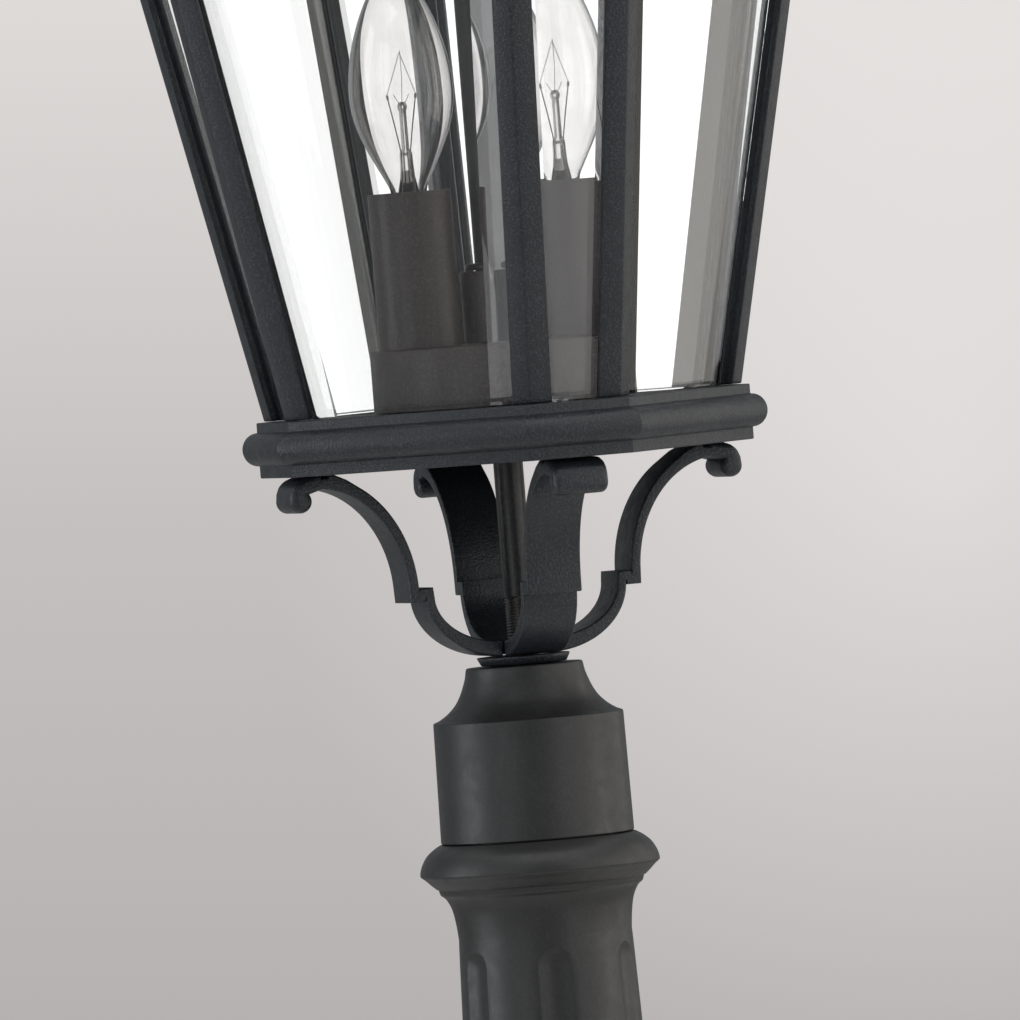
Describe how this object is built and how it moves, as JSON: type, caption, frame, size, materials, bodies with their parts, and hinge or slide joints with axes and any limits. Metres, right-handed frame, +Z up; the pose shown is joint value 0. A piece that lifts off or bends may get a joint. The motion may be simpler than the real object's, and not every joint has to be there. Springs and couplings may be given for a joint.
{
  "type": "post-top lamp",
  "caption": "Fluted lamp post with a tapered lantern of bevelled glass on scroll brackets, candle bulbs inside and an access door in the base.",
  "frame": {"origin": "centre of the base's underside, on the post's axis", "axes": "+Z up along the post; the access door faces -Y; the lantern's wide panes face +X, -X, +Y and -Y"},
  "size_m": [0.255, 0.255, 2.1661],
  "materials": {
    "lantern_black": "fine-textured blue-black powder coat",
    "post_black": "satin black paint on a casting",
    "cluster_brown": "satin brown-black paint, fine texture",
    "steel": "dull zinc-plated steel",
    "cap_brass": "plated brass lamp cap",
    "pane_glass": "clear polished glass with bevelled edges",
    "bulb_glass": "thin clear lamp glass",
    "holder_plastic": "cream phenolic",
    "terminal_grey": "grey moulded plastic"
  },
  "bodies": {
    "post": {"base_casting": "post_black", "shaft": "post_black", "foot_nut": "steel", "hinge_pin": "steel", "terminal_box": "terminal_grey", "anchor_nut_1": "steel", "anchor_nut_2": "steel", "anchor_nut_3": "steel", "anchor_nut_4": "steel"},
    "lantern": {"fitter_collar": "post_black", "grub_screw_1": "steel", "grub_screw_2": "steel", "lock_nut": "steel", "hub": "lantern_black", "scroll_bracket_1": "lantern_black", "scroll_bracket_2": "lantern_black", "scroll_bracket_3": "lantern_black", "scroll_bracket_4": "lantern_black", "bracket_screw_1": "steel", "bracket_screw_2": "steel", "bracket_screw_3": "steel", "bracket_screw_4": "steel", "base_ring": "lantern_black", "floor_plate": "cluster_brown", "cage_post_1": "lantern_black", "cage_post_2": "lantern_black", "cage_post_3": "lantern_black", "cage_post_4": "lantern_black", "cage_post_5": "lantern_black", "cage_post_6": "lantern_black", "cage_post_7": "lantern_black", "cage_post_8": "lantern_black", "top_ring": "lantern_black", "wide_pane_1": "pane_glass", "wide_pane_2": "pane_glass", "wide_pane_3": "pane_glass", "wide_pane_4": "pane_glass", "narrow_pane_1": "pane_glass", "narrow_pane_2": "pane_glass", "narrow_pane_3": "pane_glass", "narrow_pane_4": "pane_glass", "center_tube": "steel", "cluster_drum": "cluster_brown", "cluster_stem": "cluster_brown", "stem_nut": "steel", "candle_sleeve_1": "cluster_brown", "candle_sleeve_2": "cluster_brown", "lampholder_1": "holder_plastic", "lampholder_2": "holder_plastic"},
    "roof": {"roof": "lantern_black", "roof_cap": "lantern_black"},
    "finial": {"finial": "lantern_black"},
    "bulb_1": {"bulb_glass_1": "bulb_glass", "bulb_cap_1": "cap_brass", "filament_stem_1": "bulb_glass"},
    "bulb_2": {"bulb_glass_2": "bulb_glass", "bulb_cap_2": "cap_brass", "filament_stem_2": "bulb_glass"},
    "door": {"access_door": "post_black"},
    "lock": {"door_lock": "steel"}
  },
  "joints": [
    {"name": "lantern_turn", "type": "hinge", "parent": "post", "child": "lantern", "pos_m": [0, 0, 1.57], "axis": [0, 0, 1], "range_deg": [-180, 180]},
    {"name": "roof_lift", "type": "slide", "parent": "lantern", "child": "roof", "axis": [0, 0, 1], "range_m": [0, 0.16]},
    {"name": "finial_turn", "type": "hinge", "parent": "roof", "child": "finial", "pos_m": [0, 0, 2.12], "axis": [0, 0, 1], "continuous": true},
    {"name": "bulb_1_turn", "type": "hinge", "parent": "lantern", "child": "bulb_1", "pos_m": [-0.0186, -0.0186, 1.76], "axis": [0, 0, 1], "continuous": true},
    {"name": "bulb_2_turn", "type": "hinge", "parent": "lantern", "child": "bulb_2", "pos_m": [0.0186, 0.0186, 1.76], "axis": [0, 0, 1], "continuous": true},
    {"name": "door_swing", "type": "hinge", "parent": "post", "child": "door", "pos_m": [-0.0515, -0.0844, 0.135], "axis": [0, 0, -1], "range_deg": [0, 110]},
    {"name": "lock_turn", "type": "hinge", "parent": "door", "child": "lock", "pos_m": [0.033, -0.08, 0.135], "axis": [0, 1, 0], "range_deg": [0, 90]}
  ]
}
